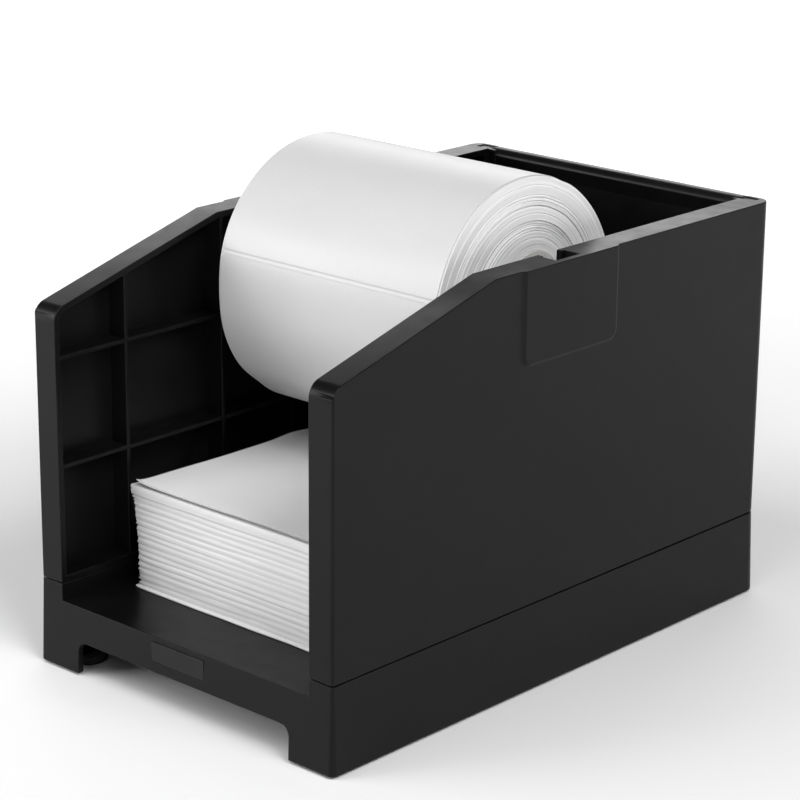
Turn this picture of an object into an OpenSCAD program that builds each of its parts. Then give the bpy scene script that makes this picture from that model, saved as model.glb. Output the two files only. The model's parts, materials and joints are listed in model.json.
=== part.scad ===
// Label stand: a base tray, two ribbed side panels and a back panel hold a label
// roll on a lift-out spindle above a stack of fan-fold labels.
// Frame: +Z up, front towards -Y, origin on the ground below the middle of the stand.

/* [Stand] */
// Width across the two side panels
stand_w = 144; // [140:1:160]
// Depth from the front posts to the back of the side panels
stand_d = 235; // [225:1:260]
// Height of the flat top edge above the ground
stand_h = 154.7; // [150:0.1:180]
// Height of the side panels' front edge, where the slope of the top would meet it
front_h = 133.3; // [120:0.1:140]
// Length of the sloped part of the top edge, measured along the ground
slope_len = 78.2; // [60:0.1:90]
// Radius of the rounded corner at the top of the front edge
front_corner_r = 6; // [2:0.5:10]
// Radius of the stand's upright corners at the front
front_post_r = 1; // [0.8:0.1:4]
// Radius of the stand's upright corners at the back
rear_post_r = 5; // [2:0.5:6]

/* [Base] */
// Height of the seam between the base and the side panels
seam_h = 32.5; // [30:0.5:40]
// Height of the tray floor
floor_h = 26.4; // [22:0.1:28]
// Wall thickness of the base
base_wall = 2.5; // [2:0.1:3]
// How far each side of the base leans out at its lowest edge
base_flare = 1.1; // [0.5:0.1:2]
// Width of the cut-out in the front wall
cutout_w = 105; // [80:1:106]
// Height of the cut-out above the lowest edge of the base
cutout_h = 12.1; // [8:0.1:13]
// Radius of the cut-out's upper corners
cutout_r = 4; // [1:0.5:6]
// Size of the badge plate: width, height
badge = [26.2, 7.5]; // [5:0.1:30]
// Middle of the badge plate: sideways position, height
badge_pos = [-1.3, 19.75]; // [-20:0.05:22]

/* [Side panels] */
// Full depth of a side panel, from its outer face to the edge of its ribs
panel_t = 10.8; // [9:0.1:12]
// Thickness of the outer skin
skin_t = 2.5; // [2:0.1:3]
// Thickness of the flange along the front and top edges
flange_t = 2.4; // [2:0.1:3]
// Thickness of the flange that stands on the base
foot_flange_t = 2.7; // [2:0.1:4]
// Thickness of the stiffening ribs
rib_t = 1.5; // [1:0.1:2]
// How far the ribs stay behind the panel's inner edge
rib_drop = 0.3; // [0.1:0.1:1]
// Distance of the upright ribs from the spindle, both ways
rib_y = [36.8, 84.1]; // [20:0.1:90]
// Heights of the level ribs
rib_z = [75.8, 115.7]; // [50:0.1:125]
// Width of the raised pad on the outer face
pad_w = 52.5; // [40:0.5:60]
// Height of the raised pad's lower edge above the ground
pad_z = 120; // [100:0.5:130]
// How far the raised pad stands out
pad_proud = 1.1; // [0.5:0.1:1.1]

/* [Spindle] */
// Height of the spindle's axis above the ground
spindle_z = 142.4; // [140:0.1:146]
// Diameter of the spindle tube
tube_d = 10; // [8:0.5:20]
// Wall thickness of the spindle tube
tube_wall = 1.5; // [1:0.1:2.5]
// Diameter of the journals that sit in the slots
journal_d = 11.8; // [8:0.1:11.8]
// Diameter of the necks between the journals and the tube
neck_d = 9.2; // [6:0.1:9.2]
// Width of the slots in the side panels
slot_w = 12.4; // [12.4:0.1:14]
// Width of the slots where they open towards the roll
throat_w = 9.8; // [9.8:0.1:11]
// Thickness of the walls around a slot
slot_wall = 2.4; // [2:0.1:4]

/* [Labels] */
// Width of the label web, on the roll and in the stack
web_w = 102; // [60:1:110]
// Width of one label
label_w = 100; // [56:1:108]
// Length of one label
label_l = 150; // [100:1:150]
// Gap between two labels on the web
label_gap = 2; // [2:0.5:4]
// Outer diameter of the wound roll
roll_d = 99.8; // [70:0.1:105]
// Height of the middle of the roll's outer turn, which sags below the core
roll_z = 129.7; // [128:0.1:135]
// Inner diameter of the roll's core
core_id = 25.4; // [25.4:0.1:26]
// Wall thickness of the roll's core
core_wall = 2.4; // [1:0.1:3]
// Angle by which the core hangs behind the plumb line through the spindle
core_swing = 45; // [0:1:60]
// Folded layers in the fan-fold stack
folds = 16; // [6:1:16]
// Height of the fan-fold stack
stack_h = 40; // [15:1:44]
// Distance from the front of the stand to the stack
stack_front = 26.5; // [20:0.5:60]

/* [Hidden] */

$fn = 64;
e = 0.01;                 // overlap that joins solids and clears cut faces
gap = 0.3;                // clearance between separate pieces
facet_fn = 32;            // sides of the round corners that go into a hull

// Places that follow from the driving dimensions
half_w = stand_w / 2;
half_d = stand_d / 2;
inner_x = half_w - panel_t;              // inner edge of a side panel
foot_proud = 1;                          // the feet hold the base's lowest edge this high

// Feet
foot_r = 7;
foot_h = 4;
foot_x = half_w - 10;
foot_y = half_d - 12;
gusset = [17, 24, 2.5];                  // plate across the hollow corner, above a foot
foot_chamfer = 0.6;

// Base
rear_rail = 11.5;                        // depth of the rail that the back panel stands on
rail_wall = 2.2;                         // inner wall of the hollow rails
floor_t = 2.5;
under_rib = 1.8;                         // ribs below the floor: thickness, depth, places
under_rib_h = 8;
under_rib_x = [-48, -16, 16, 48];
under_rib_y = [-84, -42, 0, 42, 84];
pocket_t = 0.5;                          // depth of the badge pocket
badge_r = 0.8;                           // corner radius of the badge plate
badge_sunk = 0.55;                       // how far the plate's face lies behind the front wall
shut_line = [1.3, 0.5];                  // open joint line above the base: depth, height

// Screws between base and side panels
screw_r = 1.45;
screw_hole_r = 1.5;
screw_head = [2.7, 1.8];                 // radius, height
screw_len = 12;
screw_cross = [3, 0.7, 1];               // cross recess: length, width, depth
screw_x = half_w - 5.5;
screw_y = [-60, 18, 66];
back_screw_x = [-56, 0, 56];
back_screw_y = half_d - 5.3;
boss_r = 3.3;
boss_h = 11;

// Side panel
rear_post = 8.5;                         // depth of the solid post at the back
groove_w = 4.4;                          // groove for the back panel's edge
groove_y = half_d - 4;                   // middle of the groove
groove_x = inner_x + 6.4;                // floor of the groove
saddle_r = slot_w / 2 + slot_wall;       // outer radius of the slot's walls
slot_end_x = half_w - 1.7;               // outer end of the slot
throat_t = 2.4;                          // length of its narrow part, across the panel
pad_bevel = 1.7;                         // width of the pad's sloped edge
pad_r = 5;

// Back panel
back_t = 2.4;
back_face = groove_y - back_t / 2;       // the plate's face towards the bay
rail = [6, 8];                           // top and bottom rails: depth, height
rail_r = [3.4, 1];                       // radii of a rail's upper edges: front, back
rail_play = 0.2;                         // between a rail's end and the side panel
edge_bar = [4, 3];                       // thickened edges in the grooves: depth, reach into the bay
edge_drop = 0.4;                         // how far their tops lie below the rims
tongue = [30, 5];                        // tongues into the base: width, length
tongue_x = 35;

// Spindle
end_play = 0.7;                          // room at each end of the tube and of the journals
tube_len = 2 * (inner_x - end_play);
journal_end_x = slot_end_x - end_play;
shoulder = [14.8, 0.4];                  // ring against the tube's end: diameter, length
neck_end_x = inner_x + throat_t + end_play;
flat_h = journal_d * 0.42;               // height of a journal's flats from its axis
spigot_len = 14;                         // how far a plug reaches into the tube
spigot_play = 0.1;                       // what its diameter lacks of the tube's bore

// Roll: the core hangs on the spindle tube
core_hang = core_id / 2 - tube_d / 2 - gap;
core_y = core_hang * sin(core_swing);
core_z = spindle_z - core_hang * cos(core_swing);
core_r = core_id / 2 + core_wall;
roll_r = roll_d / 2;
label_t = 0.25;
gap_angle = label_gap / roll_r * 180 / PI;
label_angle = label_l / roll_r * 180 / PI;
first_gap = 16.7;                        // angle of the front gap above the horizontal

// Stack
stack_z = floor_h;
stack_l = label_l + 1;
fold_h = stack_h / folds;
fold_dent = 0.5;                         // how far the valleys between folds go in

// ---- outlines and helpers ----

// A rounded rectangle with its own corner radius at the front and at the back
module plan(w, d, r_front, r_rear, sides = 64) {
    for (s = [-1, 1]) {
        translate([s * (w / 2 - r_front), -d / 2 + r_front]) circle(r_front, $fn = sides);
        translate([s * (w / 2 - r_rear), d / 2 - r_rear]) circle(r_rear, $fn = sides);
    }
    polygon([[-w / 2, -d / 2 + r_front], [-w / 2 + r_front, -d / 2],
             [w / 2 - r_front, -d / 2], [w / 2, -d / 2 + r_front],
             [w / 2, d / 2 - r_rear], [w / 2 - r_rear, d / 2],
             [-w / 2 + r_rear, d / 2], [-w / 2, d / 2 - r_rear]]);
}

// A rectangle of size [w, h] with all corners rounded by r
module rounded(w, h, r) {
    square([w - 2 * r, h], center = true);
    square([w, h - 2 * r], center = true);
    for (x = [-1, 1], y = [-1, 1])
        translate([x * (w / 2 - r), y * (h / 2 - r)]) circle(r);
}

// Block from corner a to corner b
module block(a, b) {
    translate(a) cube(b - a);
}

// Points of an arc about c
function arc(c, r, from, to, n = 10) =
    [for (i = [0 : n]) let (t = from + (to - from) * i / n) c + r * [cos(t), sin(t)]];

// Side outline of a panel, drawn as [y, z], pulled in by m on every edge but the bottom,
// which is pulled in by m_bottom
slope_angle = atan2(stand_h - front_h, slope_len);
function side_outline(m = 0, m_bottom = 0, m_rear = 0) =
    let (r = max(front_corner_r - m, 0.5),
         front = -half_d + m,
         top = stand_h - m,
         // height of the shifted slope line above the shifted front edge
         slope_front = front_h + m * tan(slope_angle) - m / cos(slope_angle),
         bend_y = -half_d + slope_len + m * tan(slope_angle / 2),
         // centre of the rounded corner between the front edge and the slope
         cy = front + r,
         cz = slope_front + r * tan(slope_angle) - r / cos(slope_angle))
    concat([[front, seam_h + m_bottom]],
           arc([cy, cz], r, 180, 90 + slope_angle),
           [[bend_y, top], [half_d - m_rear, top], [half_d - m_rear, seam_h + m_bottom]]);

// Turns a [y, z] outline into a slab from x = 0 to x = t
module slab(t) {
    rotate([90, 0, 90]) linear_extrude(t) children();
}

// Mirrors to the side s: -1 left, 1 right
module on_side(s) {
    mirror([s < 0 ? 1 : 0, 0, 0]) children();
}

// ---- base ----

// Solid between two levels of the leaning outer wall, pulled in by m
module base_body(m, z0, z1) {
    function lean(z) = base_flare * (seam_h - z) / (seam_h - foot_proud);
    hull() for (s = [-1, 1], r = [-1, 1]) {
        corner = r < 0 ? front_post_r : rear_post_r;
        rr = max(corner - m, 0.5);
        translate([s * (half_w - m - rr), r * (half_d - m - rr), z0])
            cylinder(h = z1 - z0, r1 = rr + lean(z0), r2 = rr + lean(z1), $fn = facet_fn);
    }
}

module badge_pocket(depth, grow) {
    translate([badge_pos.x, -half_d - base_flare, badge_pos.y + foot_proud])
        rotate([-90, 0, 0]) linear_extrude(depth + base_flare)
            rounded(badge.x + grow, badge.y + grow, badge_r + grow / 2);
}

module under_ribs() {
    for (x = under_rib_x)
        block([x - under_rib / 2, -half_d + base_wall, floor_h - floor_t - under_rib_h],
              [x + under_rib / 2, half_d - base_wall, floor_h - floor_t + e]);
    for (y = under_rib_y)
        block([-inner_x, y - under_rib / 2, floor_h - floor_t - under_rib_h],
              [inner_x, y + under_rib / 2, floor_h - floor_t + e]);
}

module foot_gussets() {
    for (s = [-1, 1], r = [-1, 1])
        translate([s * (half_w - 1 - gusset.x / 2), r * (half_d - 1 - gusset.y / 2), foot_h])
            translate([-gusset.x / 2, -gusset.y / 2, 0]) cube(gusset);
}

module base_tray() {
    color([0.07, 0.07, 0.075]) difference() {
        union() {
            difference() {
                base_body(0, foot_proud, seam_h);
                // the hollow below the floor and the rails
                base_body(base_wall, foot_proud - e, floor_h - floor_t);
                for (s = [0, 1]) mirror([s, 0, 0])
                    block([inner_x + rail_wall, -half_d + base_wall, floor_h - floor_t - e],
                          [half_w - base_wall, half_d - base_wall, seam_h - base_wall]);
                block([-half_w + base_wall, half_d - rear_rail + rail_wall, floor_h - floor_t - e],
                      [half_w - base_wall, half_d - base_wall, seam_h - base_wall]);
                // the tray above the floor, open to the front
                block([-inner_x, -half_d - base_flare - 1, floor_h],
                      [inner_x, half_d - rear_rail, seam_h + 1]);
            }
            intersection() {
                union() {
                    under_ribs();
                    foot_gussets();
                }
                base_body(base_wall / 2, foot_proud, seam_h - e);
            }
        }
        // front cut-out: the upper half of a rounded rectangle centred on the lowest edge
        translate([0, -half_d - base_flare - 1, foot_proud])
            rotate([-90, 0, 0]) linear_extrude(base_wall + base_flare + 2)
                rounded(cutout_w, 2 * cutout_h, cutout_r);
        badge_pocket(pocket_t, 0);
        for (s = [-1, 1], y = screw_y)
            translate([s * screw_x, y, floor_h]) cylinder(r = screw_hole_r, h = seam_h);
        for (x = back_screw_x)
            translate([x, back_screw_y, floor_h]) cylinder(r = screw_hole_r, h = seam_h);
        for (s = [-1, 1])
            block([s * tongue_x - tongue.x / 2 - gap, back_face - gap, seam_h - tongue.y],
                  [s * tongue_x + tongue.x / 2 + gap, groove_y + back_t / 2 + gap, seam_h + 1]);
    }
}

module badge_plate() {
    color([0.09, 0.09, 0.095]) difference() {
        badge_pocket(pocket_t - e, -gap);
        block([-half_w, -half_d - 2 * base_flare, 0],
              [half_w, -half_d - base_flare + badge_sunk, stand_h]);
    }
}

// The open joint line around the foot of the side and back panels
module joint_line() {
    inset = shut_line[0];
    translate([0, 0, seam_h - e]) linear_extrude(shut_line[1] + e) difference() {
        square([2 * stand_w, 2 * stand_d], center = true);
        plan(stand_w - 2 * inset, stand_d - 2 * inset, 0.5, rear_post_r - inset);
    }
}

// ---- side panels ----

module raised_pad() {
    w = pad_w;
    h = stand_h - pad_z;
    module face(m, x)
        translate([x, 0, 0]) slab(e) {
            translate([0, pad_z + h / 2 + m / 2])
                rounded(w - 2 * m, h - m, pad_r - m);
            translate([-w / 2 + m, stand_h - pad_r]) square([w - 2 * m, pad_r]);
        }
    hull() {
        face(0, half_w - 0.5);
        face(0, half_w - e);
        face(pad_bevel, half_w + pad_proud - e);
    }
}

module panel_ribs() {
    x0 = inner_x + rib_drop;
    for (s = [-1, 1], y = rib_y)
        block([x0, s * y - rib_t / 2, seam_h + e], [half_w - 1, s * y + rib_t / 2, stand_h]);
    block([x0, -rib_t / 2, seam_h + e], [half_w - 1, rib_t / 2, spindle_z - saddle_r + 1]);
    for (z = rib_z)
        block([x0, -half_d + 1, z - rib_t / 2], [half_w - 1, half_d - 1, z + rib_t / 2]);
}

// Room for a slot of width w around the spindle's axis, between two places along X
module upright_slot(w, x0, x1) {
    translate([x0, 0, spindle_z]) rotate([0, 90, 0]) cylinder(d = w, h = x1 - x0);
    block([x0, -w / 2, spindle_z], [x1, w / 2, stand_h + 1]);
}

module side_panel() {
    difference() {
        union() {
            intersection() {
                union() {
                    difference() {
                        translate([inner_x, 0, 0]) slab(panel_t) polygon(side_outline());
                        translate([inner_x - 1, 0, 0]) slab(panel_t - skin_t + 1)
                            polygon(side_outline(flange_t, foot_flange_t, rear_post));
                    }
                    intersection() {
                        panel_ribs();
                        translate([inner_x, 0, 0]) slab(panel_t) polygon(side_outline(1, 1, 1));
                    }
                    // walls around the spindle slot
                    translate([inner_x, 0, spindle_z]) rotate([0, 90, 0])
                        cylinder(r = saddle_r, h = panel_t - 1);
                    block([inner_x, -saddle_r, spindle_z], [half_w - 1, saddle_r, stand_h - 1]);
                    // screw bosses on the lower flange
                    for (y = screw_y)
                        translate([screw_x, y, seam_h + 1]) cylinder(r = boss_r, h = boss_h);
                }
                linear_extrude(stand_h + 1) plan(stand_w, stand_d, front_post_r, rear_post_r);
            }
            raised_pad();
        }
        // spindle slot, open upwards, with a narrower throat towards the roll
        upright_slot(slot_w, inner_x + throat_t, slot_end_x);
        upright_slot(throat_w, inner_x - 1, inner_x + throat_t + e);
        // groove for the back panel
        block([inner_x - 1, groove_y - groove_w / 2, seam_h - 1],
              [groove_x, groove_y + groove_w / 2, stand_h + 1]);
        for (y = screw_y)
            translate([screw_x, y, seam_h - 1]) cylinder(r = screw_hole_r, h = boss_h);
        joint_line();
    }
}

module left_side_panel() {
    color([0.08, 0.08, 0.085]) on_side(-1) side_panel();
}

module right_side_panel() {
    color([0.08, 0.08, 0.085]) on_side(1) side_panel();
}

// ---- back panel ----

// Bar along X, as wide as the bay, from height z0: it swells out of the plate's face and
// has rounded upper edges
module back_rail(z0) {
    w = inner_x - rail_play;
    y0 = half_d - rail.x;
    z1 = z0 + rail.y;
    translate([-w, 0, 0]) slab(2 * w) polygon(concat(
        [[back_face, z0]],
        arc([y0 + rail_r[0], z1 - rail_r[0]], rail_r[0], 180, 90),
        arc([half_d - rail_r[1], z1 - rail_r[1]], rail_r[1], 90, 0),
        [[half_d, z0]]));
}

// Plate with its rails, thickened edges, tongues and screw bosses
module back_plate() {
    block([-groove_x + gap, back_face, seam_h],
          [groove_x - gap, groove_y + back_t / 2, stand_h - rail.y / 2]);
    back_rail(stand_h - rail.y);
    back_rail(seam_h);
    for (s = [0, 1]) mirror([s, 0, 0])
        block([inner_x - edge_bar[1], groove_y - edge_bar[0] / 2, seam_h],
              [groove_x - gap, groove_y + edge_bar[0] / 2, stand_h - edge_drop]);
    for (s = [-1, 1])
        block([s * tongue_x - tongue.x / 2, back_face, seam_h - tongue.y + gap],
              [s * tongue_x + tongue.x / 2, groove_y + back_t / 2, seam_h + 1]);
    for (x = back_screw_x)
        translate([x, back_screw_y, seam_h]) cylinder(r = boss_r, h = boss_h);
}

module back_panel() {
    color([0.07, 0.07, 0.075]) difference() {
        back_plate();
        for (x = back_screw_x)
            translate([x, back_screw_y, seam_h - 1]) cylinder(r = screw_hole_r, h = boss_h);
        joint_line();
    }
}

// ---- feet and screws ----

module foot(s, r) {
    color([0.05, 0.05, 0.05]) translate([s * foot_x, r * foot_y, 0]) {
        cylinder(r1 = foot_r - foot_chamfer, r2 = foot_r, h = foot_chamfer);
        translate([0, 0, foot_chamfer]) cylinder(r = foot_r, h = foot_h - foot_chamfer);
    }
}

module front_left_foot() { foot(-1, -1); }
module front_right_foot() { foot(1, -1); }
module rear_left_foot() { foot(-1, 1); }
module rear_right_foot() { foot(1, 1); }

// Pan-head screws with a cross recess, driven in from below at the given places
module screws(places) {
    color([0.55, 0.56, 0.58]) for (p = places)
        translate([p.x, p.y, seam_h - base_wall]) difference() {
            union() {
                translate([0, 0, -screw_head[1]]) cylinder(r = screw_head[0], h = screw_head[1]);
                cylinder(r = screw_r, h = screw_len - screw_head[1]);
            }
            for (a = [0, 90]) rotate(a)
                translate([-screw_cross.x / 2, -screw_cross.y / 2, -screw_head[1] - e])
                    cube(screw_cross);
        }
}

module left_panel_screws() { screws([for (y = screw_y) [-screw_x, y]]); }
module right_panel_screws() { screws([for (y = screw_y) [screw_x, y]]); }
module back_panel_screws() { screws([for (x = back_screw_x) [x, back_screw_y]]); }

// ---- spindle ----

module spindle_tube() {
    color([0.06, 0.06, 0.065]) translate([-tube_len / 2, 0, spindle_z]) rotate([0, 90, 0])
        difference() {
            cylinder(d = tube_d, h = tube_len);
            translate([0, 0, -1]) cylinder(d = tube_d - 2 * tube_wall, h = tube_len + 2);
        }
}

// Plug in the tube's end, with a shoulder against the tube, a neck and a flatted journal
module spindle_end(s) {
    color([0.1, 0.1, 0.105]) on_side(s) translate([0, 0, spindle_z]) difference() {
        rotate([0, 90, 0]) {
            translate([0, 0, tube_len / 2 - spigot_len])
                cylinder(d = tube_d - 2 * tube_wall - spigot_play, h = spigot_len + e);
            translate([0, 0, tube_len / 2]) {
                cylinder(d = shoulder[0], h = shoulder[1]);
                cylinder(d = neck_d, h = neck_end_x - tube_len / 2 + e);
            }
            translate([0, 0, neck_end_x]) cylinder(d = journal_d, h = journal_end_x - neck_end_x);
        }
        for (d = [-1, 1])
            block([inner_x, d > 0 ? flat_h : -journal_d, -journal_d],
                  [half_w, d > 0 ? journal_d : -flat_h, journal_d]);
    }
}

module left_spindle_end() { spindle_end(-1); }
module right_spindle_end() { spindle_end(1); }

// ---- label roll ----

module roll_core() {
    color([0.75, 0.68, 0.58]) translate([-web_w / 2, core_y, core_z]) rotate([0, 90, 0])
        difference() {
            cylinder(r = core_r, h = web_w);
            translate([0, 0, -1]) cylinder(d = core_id, h = web_w + 2);
        }
}

module roll_web() {
    color([0.9, 0.9, 0.88]) difference() {
        translate([-web_w / 2, 0, roll_z]) rotate([0, 90, 0])
            cylinder(r = roll_r - label_t, h = web_w, $fn = 96);
        translate([-web_w / 2 - 1, core_y, core_z]) rotate([0, 90, 0])
            cylinder(r = core_r + e, h = web_w + 2);
    }
}

// Labels of the outermost turn: from the front gap one runs up and over the top, the
// other down and round the bottom
module roll_labels() {
    gap_at = 180 - first_gap;
    color([0.97, 0.97, 0.96]) translate([0, 0, roll_z]) rotate([90, 0, 90])
        for (start = [gap_at - gap_angle / 2 - label_angle, gap_at + gap_angle / 2])
            rotate(start) rotate_extrude(angle = label_angle, $fn = 96)
                translate([roll_r - label_t, -label_w / 2]) square([label_t, label_w]);
}

// ---- fan-fold stack ----

module fanfold_web() {
    color([0.9, 0.9, 0.88]) translate([-web_w / 2, -half_d + stack_front, stack_z])
        slab(web_w) polygon(concat(
            [[fold_dent, 0]],
            [for (i = [0 : folds - 1]) each [[0, (i + 0.5) * fold_h], [fold_dent, (i + 1) * fold_h]]],
            [[stack_l - fold_dent, stack_h]],
            [for (i = [folds - 1 : -1 : 0])
                each [[stack_l, (i + 0.5) * fold_h], [stack_l - fold_dent, i * fold_h]]]));
}

module fanfold_label() {
    color([0.97, 0.97, 0.96])
        translate([0, -half_d + stack_front + stack_l / 2, stack_z + stack_h])
            linear_extrude(label_t) rounded(label_w, stack_l - 2 * fold_dent - 2, 2);
}

// ---- output ----

base_tray();
badge_plate();
left_side_panel();
right_side_panel();
back_panel();
front_left_foot();
front_right_foot();
rear_left_foot();
rear_right_foot();
left_panel_screws();
right_panel_screws();
back_panel_screws();
spindle_tube();
left_spindle_end();
right_spindle_end();
roll_core();
roll_web();
roll_labels();
fanfold_web();
fanfold_label();
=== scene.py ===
"""Looks of the label stand: bevelled plastic shells, a wound label roll, a fan-fold stack."""

import json
import math

import bmesh
import bpy
from mathutils import Matrix, Vector, noise

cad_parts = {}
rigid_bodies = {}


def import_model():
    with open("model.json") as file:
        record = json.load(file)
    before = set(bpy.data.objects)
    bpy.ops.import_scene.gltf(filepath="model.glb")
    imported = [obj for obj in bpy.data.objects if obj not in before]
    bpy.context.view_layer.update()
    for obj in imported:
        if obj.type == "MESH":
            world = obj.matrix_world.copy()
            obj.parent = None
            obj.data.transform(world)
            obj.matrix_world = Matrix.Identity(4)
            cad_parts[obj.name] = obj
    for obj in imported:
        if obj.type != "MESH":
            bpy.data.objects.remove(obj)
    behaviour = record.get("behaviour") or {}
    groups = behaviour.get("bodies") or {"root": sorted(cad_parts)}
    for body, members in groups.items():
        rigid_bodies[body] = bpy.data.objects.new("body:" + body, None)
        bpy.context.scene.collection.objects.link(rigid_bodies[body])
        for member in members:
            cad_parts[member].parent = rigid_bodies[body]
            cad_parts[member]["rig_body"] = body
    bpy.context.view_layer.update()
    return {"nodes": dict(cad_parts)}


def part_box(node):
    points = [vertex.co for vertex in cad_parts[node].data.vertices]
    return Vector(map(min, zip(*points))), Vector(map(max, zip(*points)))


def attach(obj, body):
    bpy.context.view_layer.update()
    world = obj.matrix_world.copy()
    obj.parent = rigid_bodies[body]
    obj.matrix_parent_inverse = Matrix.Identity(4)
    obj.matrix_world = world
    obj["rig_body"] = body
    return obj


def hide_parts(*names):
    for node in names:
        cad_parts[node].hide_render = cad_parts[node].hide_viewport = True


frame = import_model()
MM = 0.001
MERGE = 0.012 * MM                      # vertices of a CAD mesh closer than this become one
REMERGE = 0.002 * MM                    # the same after bevelling
FLAT = math.radians(0.4)                # CAD faces that differ by less are one flat face
BEVEL_SHARP = 31                        # degrees: bevels shade smooth, inner corners stay sharp


# ---------------------------------------------------------------- helpers

def new_object(name, bm, material, smooth_angle=35):
    """Turns bm into an object that shades smooth below smooth_angle degrees."""
    mesh = bpy.data.meshes.new(name)
    bm.normal_update()
    bm.to_mesh(mesh)
    bm.free()
    obj = bpy.data.objects.new(name, mesh)
    bpy.context.scene.collection.objects.link(obj)
    mesh.materials.append(material)
    for polygon in mesh.polygons:
        polygon.use_smooth = True
    mesh.set_sharp_from_angle(angle=math.radians(smooth_angle))
    return obj


def stand_in(obj, nodes):
    """obj replaces the CAD nodes, which it hides, and rides on their body."""
    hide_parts(*nodes)
    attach(obj, frame["nodes"][nodes[0]]["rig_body"])
    return obj


def bevelled(node, name, material, width=0.3, segments=3, min_edge=0.3, angle=18):
    """A moulded copy of a CAD node: flat faces merged, and its outer sharp edges rounded.
    width and min_edge are in mm. Edges shorter than min_edge, or flatter than angle, stay."""
    bm = bmesh.new()
    bm.from_mesh(frame["nodes"][node].data)
    bmesh.ops.remove_doubles(bm, verts=bm.verts, dist=MERGE)
    bmesh.ops.dissolve_limit(bm, angle_limit=FLAT, verts=bm.verts, edges=bm.edges)
    bm.normal_update()
    sharp = [e for e in bm.edges
             if len(e.link_faces) == 2 and e.is_convex
             and e.calc_face_angle(0) > math.radians(angle)
             and e.calc_length() > min_edge * MM]
    bmesh.ops.bevel(bm, geom=sharp, offset=width * MM, offset_type="OFFSET", segments=segments,
                    profile=0.5, affect="EDGES", clamp_overlap=False, miter_outer="ARC")
    bmesh.ops.remove_doubles(bm, verts=bm.verts, dist=REMERGE)
    obj = new_object(name, bm, material, BEVEL_SHARP)
    even = obj.modifiers.new("even_shading", "WEIGHTED_NORMAL")
    even.keep_sharp = True
    return stand_in(obj, [node])


# ---------------------------------------------------------------- materials

class Nodes:
    """A small builder for a material's node tree."""

    def __init__(self, name):
        self.material = bpy.data.materials.new(name)
        self.material.use_nodes = True
        self.tree = self.material.node_tree
        self.shader = self.tree.nodes["Principled BSDF"]
        self.place = self.add("ShaderNodeTexCoord").outputs["Object"]

    def add(self, kind, **settings):
        node = self.tree.nodes.new(kind)
        for key, value in settings.items():
            if key.startswith("in_"):
                node.inputs[key[3:].replace("_", " ")].default_value = value
            else:
                setattr(node, key, value)
        return node

    def link(self, source, target):
        self.tree.links.new(source, target)

    def noise(self, scale, detail=2.0, place=None, rough=0.5):
        node = self.add("ShaderNodeTexNoise", in_Scale=scale, in_Detail=detail, in_Roughness=rough)
        self.link(place or self.place, node.inputs["Vector"])
        return node.outputs["Fac"]

    def remap(self, source, low, high, from_low=0.0, from_high=1.0):
        node = self.add("ShaderNodeMapRange", in_From_Min=from_low, in_From_Max=from_high,
                        in_To_Min=low, in_To_Max=high)
        self.link(source, node.inputs["Value"])
        return node.outputs["Result"]

    def math(self, operation, a, b):
        node = self.add("ShaderNodeMath", operation=operation)
        for value, socket in ((a, node.inputs[0]), (b, node.inputs[1])):
            if isinstance(value, (int, float)):
                socket.default_value = value
            else:
                self.link(value, socket)
        return node.outputs[0]

    def mix_colour(self, factor, a, b):
        node = self.add("ShaderNodeMix", data_type="RGBA")
        if isinstance(factor, (int, float)):
            node.inputs["Factor"].default_value = factor
        else:
            self.link(factor, node.inputs["Factor"])
        for value, socket in ((a, node.inputs[6]), (b, node.inputs[7])):
            if isinstance(value, tuple):
                socket.default_value = (*value, 1.0)
            else:
                self.link(value, socket)
        return node.outputs[2]

    def grey(self, value):
        """A grey whose three channels are all value."""
        shade = self.add("ShaderNodeCombineColor")
        for channel in ("Red", "Green", "Blue"):
            self.link(value, shade.inputs[channel])
        return shade.outputs["Color"]

    def bump(self, height, strength, distance, after=None):
        node = self.add("ShaderNodeBump", in_Strength=strength, in_Distance=distance)
        self.link(height, node.inputs["Height"])
        if after is not None:
            self.link(after, node.inputs["Normal"])
        return node.outputs["Normal"]

    def edge_mask(self, radius):
        """1 at rounded edges and corners, 0 on flat stretches."""
        bevel = self.add("ShaderNodeBevel", samples=4, in_Radius=radius)
        normal = self.add("ShaderNodeNewGeometry").outputs["Normal"]
        dot = self.add("ShaderNodeVectorMath", operation="DOT_PRODUCT")
        self.link(bevel.outputs["Normal"], dot.inputs[0])
        self.link(normal, dot.inputs[1])
        return self.remap(dot.outputs["Value"], 1.0, 0.0, 0.93, 1.0)

    def finish(self, colour=None, roughness=None, normal=None, **fixed):
        for value, socket in ((colour, "Base Color"), (roughness, "Roughness"), (normal, "Normal")):
            if isinstance(value, (int, float)):
                self.shader.inputs[socket].default_value = value
            elif isinstance(value, tuple):
                self.shader.inputs[socket].default_value = (*value, 1.0)
            elif value is not None:
                self.link(value, self.shader.inputs[socket])
        for key, value in fixed.items():
            self.shader.inputs[key.replace("_", " ")].default_value = value
        return self.material


def grey(value):
    return (value, value, value)


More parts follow.
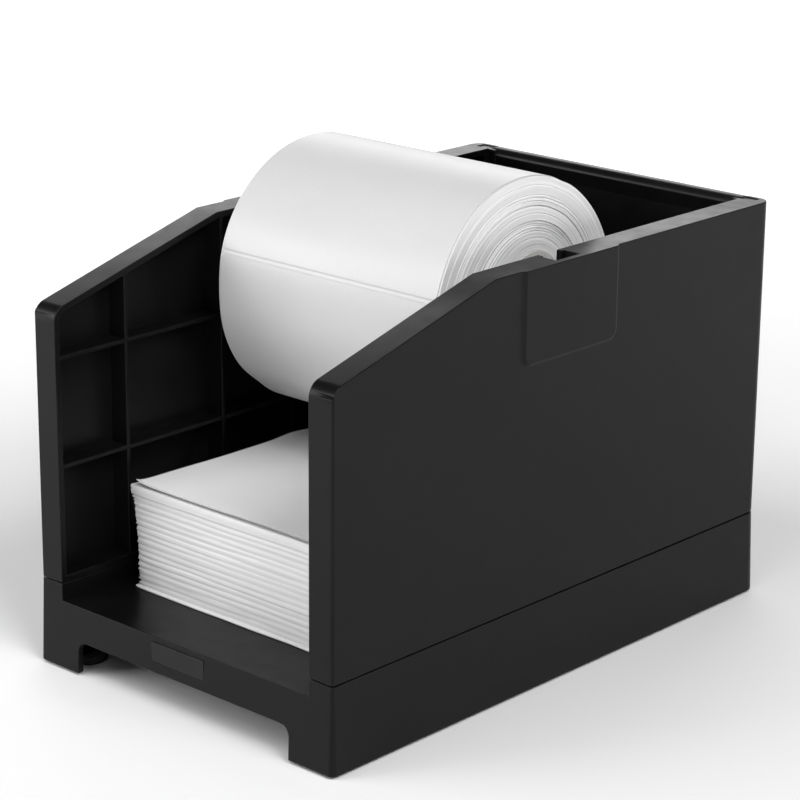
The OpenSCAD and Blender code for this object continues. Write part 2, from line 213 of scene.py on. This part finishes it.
def moulded_plastic(name, tone, rough, grain_strength=0.12, ior=1.25):
    """Black moulded plastic: spark-eroded grain, faint flow clouds, paler rubbed edges."""
    n = Nodes(name)
    clouds = n.noise(22, 3)
    handling = n.noise(140, 4)
    shade = n.grey(n.remap(clouds, tone * 0.8, tone * 1.25, 0.35, 0.65))
    rubbed = n.math("MULTIPLY", n.edge_mask(0.0008), n.remap(handling, 0.0, 0.8, 0.4, 0.65))
    colour = n.mix_colour(rubbed, shade, grey(tone * 3.2))
    roughness = n.math("ADD", n.remap(clouds, rough - 0.03, rough + 0.04, 0.35, 0.65),
                       n.remap(handling, -0.03, 0.03, 0.35, 0.65))
    grain = n.math("ADD", n.noise(1900, 2), n.math("MULTIPLY", n.noise(5200, 1), 0.5))
    normal = n.bump(grain, grain_strength, 0.00006, n.bump(clouds, 0.12, 0.0004))
    return n.finish(colour, roughness, normal, IOR=ior)


def paper(name, tone, rough, ior):
    """Coated paper: faint fibre clouds in tone and surface."""
    n = Nodes(name)
    fibres = n.noise(900, 5, rough=0.65)
    clouds = n.noise(45, 3)
    mottled = n.math("ADD", n.remap(fibres, -0.02, 0.02),
                     n.remap(clouds, tone - 0.012, tone + 0.012))
    normal = n.bump(fibres, 0.06, 0.00008, n.bump(clouds, 0.1, 0.0004))
    return n.finish(n.grey(mottled), n.remap(clouds, rough - 0.06, rough + 0.06), normal, IOR=ior)


def layered_paper(name, tone, count, contrast):
    """Cut paper edges packed side by side: lines along the turns or plies.
    They follow the mesh's "layer", which runs from 0 to 1 over count sheets."""
    n = Nodes(name)
    layer = n.add("ShaderNodeAttribute", attribute_name="layer").outputs["Fac"]
    split = n.add("ShaderNodeSeparateXYZ")
    n.link(n.place, split.inputs["Vector"])

    def streaks(lines, drift, detail):
        """Noise that changes lines times over the layers and drift times over a metre along them."""
        join = n.add("ShaderNodeCombineXYZ")
        n.link(n.math("MULTIPLY", layer, lines), join.inputs["X"])
        n.link(n.math("MULTIPLY", split.outputs["Y"], drift), join.inputs["Y"])
        n.link(n.math("MULTIPLY", n.math("ADD", split.outputs["Z"], split.outputs["X"]), drift),
               join.inputs["Z"])
        return n.noise(1.0, detail, join.outputs["Vector"], 0.6)

    fine = streaks(count / 2.2, 9.0, 1)
    groups = streaks(count / 9, 6.0, 3)
    value = n.math("ADD", n.remap(fine, -contrast, 0.6 * contrast, 0.2, 0.8),
                   n.remap(groups, tone - 0.5 * contrast, tone + 0.3 * contrast, 0.2, 0.8))
    height = n.math("ADD", n.math("MULTIPLY", fine, 0.6), groups)
    return n.finish(n.grey(value), 0.6, n.bump(height, 0.5, 0.0003), IOR=1.3)


def board(name, tone):
    """Grey core board with the faint spiral of its plies."""
    n = Nodes(name)
    fibres = n.noise(700, 5, rough=0.7)
    wave = n.add("ShaderNodeTexWave", wave_type="BANDS", in_Scale=28, in_Distortion=0.6)
    wave.bands_direction = "X"
    n.link(n.place, wave.inputs["Vector"])
    ply = n.remap(wave.outputs["Fac"], 0.93, 1.0, 0.0, 0.25)
    value = n.math("MULTIPLY", n.remap(fibres, tone * 0.85, tone * 1.12, 0.3, 0.7), ply)
    shade = n.add("ShaderNodeCombineColor")
    for channel, share in (("Red", 1.0), ("Green", 0.985), ("Blue", 0.96)):
        n.link(n.math("MULTIPLY", value, share), shade.inputs[channel])
    return n.finish(shade.outputs["Color"], 0.8, n.bump(fibres, 0.3, 0.0002), IOR=1.3)


def rubber(name):
    n = Nodes(name)
    specks = n.noise(1500, 3)
    return n.finish(n.mix_colour(n.remap(specks, 0.0, 1.0, 0.4, 0.7), grey(0.012), grey(0.022)),
                    n.remap(specks, 0.7, 0.9), n.bump(specks, 0.3, 0.0001), IOR=1.4)


def zinc(name):
    n = Nodes(name)
    brushed = n.noise(2500, 4)
    return n.finish(n.mix_colour(brushed, (0.42, 0.43, 0.46), (0.62, 0.62, 0.6)),
                    n.remap(brushed, 0.28, 0.45), n.bump(brushed, 0.15, 0.00005), Metallic=1.0)


def pale_floor(name):
    """White floor, which glows a little away from the stand to fade into the room."""
    n = Nodes(name)
    soft = n.noise(3, 3)
    reach = n.add("ShaderNodeVectorMath", operation="LENGTH")
    n.link(n.place, reach.inputs[0])
    glow = n.math("ADD", n.remap(reach.outputs["Value"], 0.0, 0.45, 0.26, 0.8),
                  n.remap(reach.outputs["Value"], 0.0, 0.5, 1.4, 4.0))
    n.link(glow, n.shader.inputs["Emission Strength"])
    return n.finish(n.mix_colour(soft, grey(0.92), grey(0.94)), 0.7, n.bump(soft, 0.02, 0.001),
                    IOR=1.2, Emission_Color=(1, 1, 1, 1))


BLACK = moulded_plastic("black_plastic", 0.004, 0.34, ior=1.25)
BADGE = moulded_plastic("badge_plastic", 0.013, 0.36, 0.05)
SPINDLE = moulded_plastic("spindle_plastic", 0.009, 0.3, 0.05)
# The roll's labels and the stack's top label are one label stock. The roll's copy is painted darker
# (painted shade) and the top label's copy is painted lighter (painted light).
LABEL = paper("label_paper", 0.585, 0.36, 1.5)
TOP_LABEL_LIT = paper("top_label_paper_painted_light", 0.88, 0.45, 1.35)
LINER = paper("liner_paper", 0.68, 0.5, 1.3)
WINDING = layered_paper("winding_edges", 0.83, 260, 0.18)
PLIES = layered_paper("ply_edges", 0.76, 160, 0.09)
CORE = board("core_board", 0.53)
RUBBER = rubber("foot_rubber")
ZINC = zinc("screw_zinc")

# ---------------------------------------------------------------- stand

bevelled("base_tray", "base_shell", BLACK)
bevelled("left_side_panel", "left_panel_shell", BLACK)
bevelled("right_side_panel", "right_panel_shell", BLACK)
bevelled("back_panel", "back_panel_shell", BLACK)
bevelled("badge_plate", "badge_blank", BADGE, width=0.2)
bevelled("spindle_tube", "spindle_pipe", SPINDLE, width=0.3)
for side in ("left", "right"):
    bevelled(f"{side}_spindle_end", f"{side}_spindle_plug", SPINDLE, width=0.12)
    for end in ("front", "rear"):
        bevelled(f"{end}_{side}_foot", f"{end}_{side}_rubber_foot", RUBBER, width=0.4)
for group in ("left_panel", "right_panel", "back_panel"):
    bevelled(f"{group}_screws", f"{group}_screw_set", ZINC, width=0.1)

# ---------------------------------------------------------------- paper

def loft(rings, layers, closed=False, capped=False):
    """Skins successive closed rings of points; layers gives each ring's value of "layer"."""
    bm = bmesh.new()
    layer = bm.verts.layers.float.new("layer")
    rows = []
    for ring, value in zip(rings, layers):
        row = [bm.verts.new(point) for point in ring]
        for vert in row:
            vert[layer] = value
        rows.append(row)
    following = rows[1:] + rows[:1] if closed else rows[1:]
    for row, upper in zip(rows, following):
        for i, vert in enumerate(row):
            j = (i + 1) % len(row)
            bm.faces.new((vert, row[j], upper[j], upper[i]))
    if capped:
        bm.faces.new(list(reversed(rows[0])))
        bm.faces.new(rows[-1])
    bmesh.ops.recalc_face_normals(bm, faces=bm.faces)
    return bm


def bump_at(value, centre, width):
    """A smooth hump of height 1 at centre."""
    return math.exp(-((value - centre) / width) ** 2)


def smooth_step(value, low, high):
    t = min(1.0, max(0.0, (value - low) / (high - low)))
    return t * t * (3 - 2 * t)


core_low, core_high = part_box("roll_core")
web_low, web_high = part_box("roll_web")
CORE_Y = (core_low.y + core_high.y) / 2
CORE_Z = (core_low.z + core_high.z) / 2
CORE_R = (core_high.y - core_low.y) / 2
CORE_WALL = 2.4 * MM
ROLL_Z = (web_low.z + web_high.z) / 2
ROLL_R = web_high.y
ROLL_HALF = web_high.x
LABEL_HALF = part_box("roll_labels")[1].x
LABEL_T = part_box("roll_labels")[1].y - ROLL_R
LABEL_LENGTH = 150 * MM
LABEL_GAP = 2 * MM
LABEL_CORNER = 2 * MM
FIRST_GAP = math.radians(16.7)          # the gap's place above the front horizontal
# the deeper lines in the roll's ends: layer from 0 at the core to 1, and relative depth
GROOVES = ((0.90, 0.35), (0.785, 0.35), (0.75, 0.5), (0.712, 0.55), (0.65, 0.9), (0.55, 0.25),
           (0.445, 1.0), (0.405, 0.5), (0.38, 0.4), (0.34, 0.4), (0.30, 0.35), (0.20, 0.2))
STRIPE = math.radians(103)              # where the turns' edges are pressed together
CUT_DEPTH = 0.12 * MM                   # how deep the die cuts go into the backing paper
UNDER_LABEL = 0.02 * MM                 # clear height below a label that lies on another sheet
OUTER_TURN = 0.998                      # layer of the backing paper's outer face, below the labels


def slack(angle, x):
    """How far the outer turn lies inside its true circle, in metres: an even wobble, loose
    below the first gap, flat at the lower left, tapered at the right front, a dip on top."""
    wobble = 0.5 + 0.5 * noise.noise(Vector((2.2 * math.cos(angle), 2.2 * math.sin(angle), x * 6)))
    loose = bump_at(angle, FIRST_GAP - 0.30, 0.24) * 0.7
    flat = bump_at(angle, -0.89, 0.15) * 0.75 * (1 - smooth_step(x, -ROLL_HALF, 0.1 * ROLL_HALF))
    front = smooth_step(angle, -1.2, 0.1) * (1 - smooth_step(angle, 0.17, 1.31))
    taper = 3.0 * front * smooth_step(x, -0.3 * ROLL_HALF, 1.05 * ROLL_HALF)
    dip = 0.45 * bump_at(angle, 1.99, 0.09) * smooth_step(x, 0.5 * ROLL_HALF, ROLL_HALF)
    return (0.22 * wobble + loose + flat + taper + dip) * MM


def turn_point(layer, angle, x):
    """A point of the winding: layer 0 lies on the core, layer 1 is the outer turn."""
    radius = CORE_R + (ROLL_R - CORE_R) * layer - slack(angle, x) * layer ** 3
    sag = (1 - layer) ** 1.6
    y = CORE_Y * sag - radius * math.cos(angle)
    z = ROLL_Z + (CORE_Z - ROLL_Z) * sag + radius * math.sin(angle)
    return Vector((x, y, z))


def end_recess(layer, angle):
    """How far the edge of a turn lies behind the roll's flat end, in metres."""
    slow = Vector((0.8 * math.cos(angle), 0.8 * math.sin(angle), 0))
    grooves = sum(depth * bump_at(layer, place, 0.005) for place, depth in GROOVES)
    drift = 0.12 * (1 + noise.noise(slow + Vector((0, 0, layer * 11))))
    fine = 0.1 * (1 + noise.noise(slow + Vector((5, 0, layer * 60))))
    pressed = bump_at(angle, STRIPE - 0.04 * (1 - layer), 0.03 + 0.03 * (1 - layer))
    dent = pressed * (0.15 + 0.35 * grooves) * smooth_step(layer, 0.0, 0.2)
    return (0.75 * grooves + drift + fine + dent) * MM


def full_turn(count):
    """Angles from one half turn behind the front to the other."""
    return [-math.pi + 2 * math.pi * i / count for i in range(count)]


def web_depths():
    """Layers from the core outwards, closer together at the deeper lines."""
    close = [place + step for place, _ in GROOVES for step in (-0.01, -0.005, 0, 0.005, 0.01)]
    even = [i / 70 for i in range(71)]
    even = [d for d in even if min(abs(d - c) for c in close) > 0.004]
    return sorted(even + close)


def web_angles():
    """Angles of the winding, closer together at the edges of the front label gap."""
    edges = [FIRST_GAP + s * LABEL_GAP / 2 / ROLL_R for s in (-1, 1)]
    close = [edge + step * 0.25 * MM / ROLL_R for edge in edges for step in (-2, -1, 0, 1, 2)]
    even = [a for a in full_turn(200) if min(abs(a - c) for c in close) > 0.008]
    return sorted(even + close), edges


def wound_web():
    """The wound backing paper, its ends built turn by turn."""
    depths = web_depths()
    angles, cuts = web_angles()
    across = [-1 + i / 12 for i in range(25)]
    rings, layers = [], []
    for side, order in ((-1, depths), (1, depths[::-1])):
        if side > 0:
            for step in across:
                ring = [turn_point(OUTER_TURN, a, step * (ROLL_HALF - 0.25 * MM)) for a in angles]
                rings.append([cut_line(point, a, cuts) for point, a in zip(ring, angles)])
                layers.append(1.0)
        for depth in order:
            rings.append([turn_point(depth * 0.997, a, side * (ROLL_HALF - end_recess(depth, a)))
                          for a in angles])
            layers.append(depth)
    return loft(rings, layers, closed=True)


def cut_line(point, angle, cuts):
    """Sinks the die-cut lines along the label gap a little into the backing paper."""
    depth = CUT_DEPTH * sum(bump_at(angle, cut, 0.2 * MM / ROLL_R) for cut in cuts)
    return point - Vector((0, -math.cos(angle), math.sin(angle))) * depth


def corner_steps(radius):
    """Distances from a sheet's end where its rounded corners get a row of points."""
    return [radius * (1 - math.cos(math.radians(a))) for a in (0, 30, 50, 65, 78)]


def sheet_on_roll(start, direction):
    """One label on the outer turn, with rounded corners, from start around the roll."""
    rounding = corner_steps(LABEL_CORNER)
    straight = [LABEL_LENGTH * i / 90 for i in range(2, 89)]
    stations = rounding + straight + [LABEL_LENGTH - d for d in reversed(rounding)]
    columns = [-1 + i / 10 for i in range(21)]
    rings = []
    for along in stations:
        inset = max(0.0, LABEL_CORNER - min(along, LABEL_LENGTH - along))
        half = LABEL_HALF - LABEL_CORNER + math.sqrt(LABEL_CORNER ** 2 - inset ** 2)
        angle = start + direction * along / (ROLL_R + LABEL_T)
        outward = Vector((0, -math.cos(angle), math.sin(angle)))
        top = [turn_point(1, angle, u * half) + outward * LABEL_T for u in columns]
        under = [turn_point(1, angle, u * half) + outward * UNDER_LABEL for u in reversed(columns)]
        rings.append(top + under)
    return loft(rings, [1.0] * len(rings), capped=True)


def roll():
    web = new_object("wound_web", wound_web(), WINDING, 50)
    web.data.materials.append(LINER)
    for polygon in web.data.polygons:
        polygon.material_index = int(abs(polygon.normal.x) < 0.5)
    stand_in(web, ["roll_web"])
    half_gap = LABEL_GAP / 2 / ROLL_R
    upper = sheet_on_roll(FIRST_GAP + half_gap, 1)
    lower = sheet_on_roll(FIRST_GAP - half_gap, -1)
    # these labels take the darker copy of the label paper: painted shade
    stand_in(new_object("upper_roll_label", upper, LABEL), ["roll_labels"])
    stand_in(new_object("lower_roll_label", lower, LABEL), ["roll_labels"])


def core():
    """Board tube with softened rims."""
    rim = 0.3 * MM
    half = core_high.x
    outline = [(-half, rim), (-half + rim, 0), (half - rim, 0), (half, rim),
               (half, CORE_WALL - rim), (half - rim, CORE_WALL),
               (-half + rim, CORE_WALL), (-half, CORE_WALL - rim)]
    rings = []
    for angle in full_turn(120):
        out = Vector((0, -math.cos(angle), math.sin(angle)))
        rings.append([Vector((x, CORE_Y, CORE_Z)) + out * (CORE_R - 0.02 * MM - depth)
                      for x, depth in outline])
    return loft(rings, [0.0] * len(rings), closed=True)


stack_low, stack_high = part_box("fanfold_web")
STACK_TOP = stack_high.z
STACK_WIDTH = stack_high.x - stack_low.x
STACK_LENGTH = stack_high.y - stack_low.y
PITCHES = [1.0] + [2.32 + 0.12 * math.sin(2.1 * i) for i in range(15)] + [4.2]
BODY_DROP = 0.9 * MM                    # the folded body ends this far below the stack's top
SHEET_DROP = 0.55 * MM                  # and the loose top sheet's lowest level this far
FRONT_INSET = 0.7 * MM                  # the front folds' mean place behind the stack's box
STEPS = 8                               # outlines per fold
ENDS = 60                               # points along a folded end
SIDES = 44                              # points along a cut side
SPLAYED = 12                            # points of the front end that lean out to the left


def stack_side(level, along, side):
    """How far a sheet edge stands out of the stack's left or right side at a level from 0 to 1."""
    ragged = noise.noise(Vector((along * 9, level * 55, side * 7.3)))
    coarse = noise.noise(Vector((along * 3, level * 6, side * 3.1)))
    return (0.7 * ragged + 0.5 * coarse) * MM


def stack_rings():
    """Closed outlines of the stack from its lowest fold to its highest."""
    scale = (STACK_TOP - stack_low.z - BODY_DROP) / (sum(PITCHES) * MM)
    rings, layers = [], []
    bottom = 0.0
    for fold, pitch in enumerate(PITCHES):
        for step in range(STEPS):
            u = (step + 0.5) / STEPS
            height = (bottom + u * pitch) * MM * scale
            rings.append(stack_outline(height, fold, 2 * abs(u - 0.5)))
            layers.append((bottom + u * pitch) / sum(PITCHES))
        bottom += pitch
    return rings, layers


def fold_dent(fold, off_middle):
    """How far a fold's face lies behind its bulge, off_middle from its middle height."""
    if fold == len(PITCHES) - 1:
        return 0.5 * off_middle ** 5 * MM
    uneven = 0.5 + 0.5 * noise.noise(Vector((fold * 2.3, 7, 1)))
    return (0.12 + 0.3 * uneven) * off_middle ** 2 * MM


def front_points(height, fold, level, dent):
    """The folded front end of one outline, from left to right."""
    last = len(PITCHES) - 1
    jut = 0.9 * MM if fold == 0 else 0.0
    overhang = 0.7 * MM * smooth_step(fold, last - 1.5, last)
    points = []
    for i in range(ENDS + 1):
        x = stack_low.x + STACK_WIDTH * i / ENDS
        wave = noise.noise(Vector((x * 28, level * 5, 0)))
        bunch = noise.noise(Vector((x * 60, fold * 1.7, 9)))
        corner = max(0.0, 1 - min(i, ENDS - i) / 1.5) * 0.5 * MM
        y = (stack_low.y + FRONT_INSET + dent + corner - jut - overhang
             + (0.25 * wave + 0.22 * bunch) * MM)
        ripple = 0.4 * noise.noise(Vector((x * 22, level * 9, 3))) * min(1, fold, last - fold)
        points.append(Vector((x, y, stack_low.z + height + ripple * MM)))
    return points


def stack_outline(height, fold, off_middle):
    """One outline: folds at the front and rear, ragged sheet edges at the sides."""
    last = len(PITCHES) - 1
    level = fold / last
    z = stack_low.z + height
    dent = fold_dent(fold, off_middle)
    points = front_points(height, fold, level, dent)
    lowest = 1.2 if fold == 0 else 0
    flare = (2.4 * level ** 2 + 0.5 * smooth_step(fold, last - 2, last) + lowest) * MM
    for i in range(1, SIDES):
        y = stack_low.y + STACK_LENGTH * i / SIDES
        points.append(Vector((stack_high.x + stack_side(level, y, 1) - 0.3 * dent, y, z)))
    for i in range(ENDS + 1):
        x = stack_high.x - STACK_WIDTH * i / ENDS
        points.append(Vector((x, stack_high.y - dent, z)))
    for i in range(1, SIDES):
        y = stack_high.y - STACK_LENGTH * i / SIDES
        lean = flare * bump_at(y, stack_low.y, 0.035)
        points.append(Vector((stack_low.x + stack_side(level, y, -1) - lean + 0.3 * dent, y, z)))
    teeth = 1.1 * MM * noise.noise(Vector((height / MM * 1.3, 2, 5)))
    for i, point in enumerate(points[:SPLAYED]):
        point.x -= (flare + teeth) * (1 - i / SPLAYED)
    return points


def top_height(x, y):
    """Height of the loose top sheet, in metres: lifted along the front, most at its left
    corner, with a kink in the left edge and a gentle swell. u and v run from 0 to 1."""
    u = (x - stack_low.x) / STACK_WIDTH
    v = (y - stack_low.y) / STACK_LENGTH
    front = 0.6 * (1 - smooth_step(v, 0.0, 0.35)) * (1 - 0.35 * u)
    corner = 1.5 * math.exp(-math.hypot(u * 102, v * 151) / 2.5)
    kink = 0.7 * bump_at(v, 0.52, 0.05) * math.exp(-u / 0.12)
    swell = 0.35 * noise.noise(Vector((u * 2.4, v * 3.1, 4)))
    return STACK_TOP - SHEET_DROP + (front + corner + kink + swell) * MM


def flat_sheet(inset, thick, lift, radius):
    """A thin sheet that lies on the stack, with corners rounded by radius. Its edges lie inset
    inside the stack's box, and its top lies lift above the loose top sheet's mean height."""
    low = Vector((stack_low.x + inset, stack_low.y + inset + 0.4 * MM, 0))
    high = Vector((stack_high.x - inset, stack_high.y - inset, 0))
    turns = corner_steps(radius)
    length = high.y - low.y
    columns = 28
    inner = [radius + (length - 2 * radius) * i / 80 for i in range(81)]
    stations = turns + inner + [length - d for d in reversed(turns)]
    rings = []
    for along in stations:
        near = max(0.0, radius - min(along, length - along))
        half = (high.x - low.x) / 2 - radius + math.sqrt(max(0.0, radius ** 2 - near ** 2))
        row = [Vector((half * i / columns, low.y + along, 0)) for i in range(-columns, columns + 1)]
        for point in row:
            point.z = top_height(point.x, point.y) + lift
        under = [point - Vector((0, 0, thick)) for point in reversed(row)]
        rings.append(row + under)
    return loft(rings, [1.0] * len(rings), capped=True)


def stack():
    rings, layers = stack_rings()
    body = new_object("fanfold_stack", loft(rings, layers, capped=True), PLIES, 60)
    stand_in(body, ["fanfold_web"])
    liner = new_object("top_liner_sheet", flat_sheet(0.0, 0.12 * MM, 0.12 * MM, 0.4 * MM), LINER)
    stand_in(liner, ["fanfold_web"])
    # the top label takes the lighter copy of the label paper: painted light
    label = new_object("top_label", flat_sheet(1.0 * MM, 0.1 * MM, 0.23 * MM, 2 * MM), TOP_LABEL_LIT)
    stand_in(label, ["fanfold_label"])


roll()
stand_in(new_object("board_core", core(), CORE), ["roll_core"])
stack()

# ---------------------------------------------------------------- studio

AZIMUTH, ELEVATION, ROLL = (math.radians(x) for x in (42.398, 17.637, 0.490))


MIDDLE = Vector((0, 0, 0.08))           # the point that every light faces
WORLD_STRENGTH = 0.08
FLOOR_SIZE = 30                         # half the floor's width, in metres
CAMERA_PLACE = (0.6425, -0.7110, 0.3925)
LENS = 123.94                           # focal length in mm, on a 36 mm wide sensor
# name, direction from MIDDLE, distance, width and height in metres, radiance
LIGHTS = (("key", (-0.64, -0.72, 0.30), 2.0, (1.4, 0.8), 5.6),
          ("front_top", (-0.1, -0.75, 1.05), 2.0, (1.4, 1.0), 2.8),
          ("backdrop", (-0.62, 0.72, 0.34), 2.6, (2.6, 1.2), 2.4),
          ("right_high", (0.8, -0.2, 0.8), 2.2, (1.2, 1.0), 9.5),
          ("front_right", (0.5, -0.8, 0.5), 2.2, (1.0, 0.8), 1.0))


def softbox(name, direction, distance, size, radiance):
    """A rectangular light that faces the object's middle from a direction."""
    data = bpy.data.lights.new(name, "AREA")
    data.shape = "RECTANGLE"
    data.size, data.size_y = size
    data.energy = radiance * math.pi * size[0] * size[1]
    obj = bpy.data.objects.new(name, data)
    obj.location = MIDDLE + Vector(direction).normalized() * distance
    obj.rotation_euler = (MIDDLE - obj.location).to_track_quat("-Z", "Y").to_euler()
    bpy.context.scene.collection.objects.link(obj)


def wide_floor():
    bm = bmesh.new()
    bmesh.ops.create_grid(bm, x_segments=8, y_segments=8, size=FLOOR_SIZE)
    return bm


def studio():
    new_object("floor", wide_floor(), pale_floor("pale_floor"))
    world = bpy.data.worlds.new("studio")
    world.use_nodes = True
    background = world.node_tree.nodes["Background"]
    background.inputs["Color"].default_value = (1, 1, 1, 1)
    background.inputs["Strength"].default_value = WORLD_STRENGTH
    bpy.context.scene.world = world
    for light in LIGHTS:
        softbox(*light)


def camera():
    """Looks from the right front corner, slightly down, with a long lens."""
    back = Vector((math.sin(AZIMUTH) * math.cos(ELEVATION),
                   -math.cos(AZIMUTH) * math.cos(ELEVATION), math.sin(ELEVATION)))
    right = Vector((math.cos(AZIMUTH), math.sin(AZIMUTH), 0))
    up = back.cross(right)
    right, up = (right * math.cos(ROLL) + up * math.sin(ROLL),
                 up * math.cos(ROLL) - right * math.sin(ROLL))
    data = bpy.data.cameras.new("camera")
    data.sensor_width = 36
    data.lens = LENS
    data.clip_end = 50
    obj = bpy.data.objects.new("camera", data)
    obj.matrix_world = Matrix.Translation(CAMERA_PLACE) @ Matrix(
        (right, up, back)).transposed().to_4x4()
    bpy.context.scene.collection.objects.link(obj)
    bpy.context.scene.camera = obj


studio()
camera()
bpy.context.scene.view_settings.view_transform = "Standard"
bpy.context.scene.cycles.use_denoising = True
